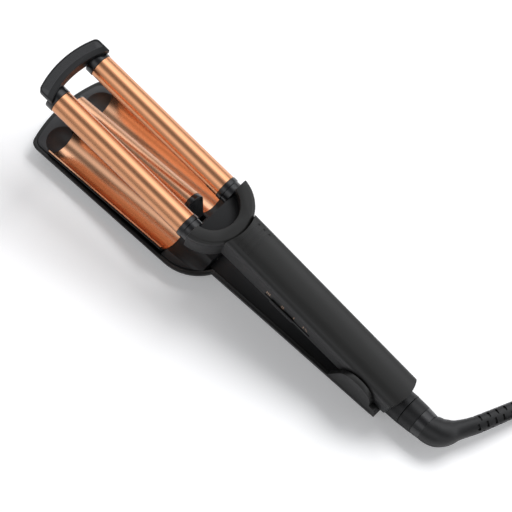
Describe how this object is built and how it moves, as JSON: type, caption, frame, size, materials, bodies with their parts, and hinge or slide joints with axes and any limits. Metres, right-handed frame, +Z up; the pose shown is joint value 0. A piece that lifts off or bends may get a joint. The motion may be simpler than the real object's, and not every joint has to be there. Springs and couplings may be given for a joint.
{
  "type": "hair waver",
  "caption": "Hair waver standing half open: two round copper barrels on the upper arm close into a waved plate on the lower arm, with a slide switch and a swivel cord.",
  "frame": {"origin": "on the table under the hinge pin, midway between the hinge ears", "axes": "+X along the lower arm towards the cord, +Y towards the right-hand side seen from the handle's end looking at the barrels, +Z up; the slide switch is on the -Y side"},
  "size_m": [0.5373, 0.1692, 0.1091],
  "materials": {
    "soft_black": "soft-touch black, matt",
    "dark_grey": "satin dark grey",
    "moulded_black": "matt black",
    "textured_black": "fine dotted texture",
    "gloss_black": "gloss black",
    "copper_ceramic": "rose copper ceramic coating, satin sheen",
    "heater_alloy": "plain",
    "spring_steel": "plain",
    "fuse_body": "ceramic sleeve",
    "lead_sleeve": "woven glass sleeve",
    "contact_plastic": "plain",
    "circuit_board": "green laminate",
    "lamp_lens": "red lens",
    "contact_brass": "plain",
    "cord_rubber": "matt black",
    "plug_metal": "bright plated"
  },
  "bodies": {
    "lower_arm": {"lower_shell": "soft_black", "root_block": "dark_grey", "tip_block": "dark_grey", "wave_plate": "copper_ceramic", "ridge_root_cap": "gloss_black", "ridge_tip_cap": "gloss_black", "plate_cradle": "moulded_black", "ridge_heater": "heater_alloy", "ridge_heater_clip": "spring_steel", "trough_heaters": "heater_alloy", "lower_thermal_fuse": "fuse_body", "lower_leads": "lead_sleeve", "channel_cover": "moulded_black", "lower_screws": "spring_steel", "hinge_pin": "spring_steel", "return_spring": "spring_steel", "swivel_neck": "moulded_black", "contact_block": "contact_plastic"},
    "upper_arm": {"upper_shell": "soft_black", "upper_frame": "dark_grey", "yoke_cover": "soft_black", "barrel_mount": "moulded_black", "left_barrel": "copper_ceramic", "right_barrel": "copper_ceramic", "left_root_collar": "gloss_black", "right_root_collar": "gloss_black", "left_tip_collar": "gloss_black", "right_tip_collar": "gloss_black", "tip_bridge": "moulded_black", "bridge_pad": "textured_black", "bridge_screws": "spring_steel", "left_heater": "heater_alloy", "right_heater": "heater_alloy", "heater_clips": "spring_steel", "upper_thermal_fuse": "fuse_body", "control_board": "circuit_board", "slide_switch": "moulded_black", "indicator_lamp": "lamp_lens", "upper_leads": "lead_sleeve", "upper_screws": "spring_steel"},
    "slider": {"temp_slider": "moulded_black"},
    "cord": {"swivel_barrel": "moulded_black", "swivel_collar": "dark_grey", "swivel_clip": "spring_steel", "slip_rings": "contact_brass", "cord_boot": "cord_rubber", "cord_tube": "cord_rubber", "cord_coil": "cord_rubber", "cord_tail": "cord_rubber", "cord_tie": "cord_rubber", "plug_body": "cord_rubber", "plug_pins": "plug_metal"}
  },
  "joints": [
    {"name": "jaw_hinge", "type": "hinge", "parent": "lower_arm", "child": "upper_arm", "pos_m": [0, 0, 0.0315], "axis": [0, 1, 0], "range_deg": [-14, 0], "stiffness_Nm_per_rad": 1, "springref_deg": 51.57, "deforming": ["return_spring"]},
    {"name": "temp_slide", "type": "slide", "parent": "upper_arm", "child": "slider", "axis": [0.9825, 0, -0.1865], "range_m": [-0.0145, 0.0245]},
    {"name": "cord_swivel", "type": "hinge", "parent": "lower_arm", "child": "cord", "pos_m": [0.0369, 0, 0.0158], "axis": [1, 0, 0], "continuous": true}
  ]
}
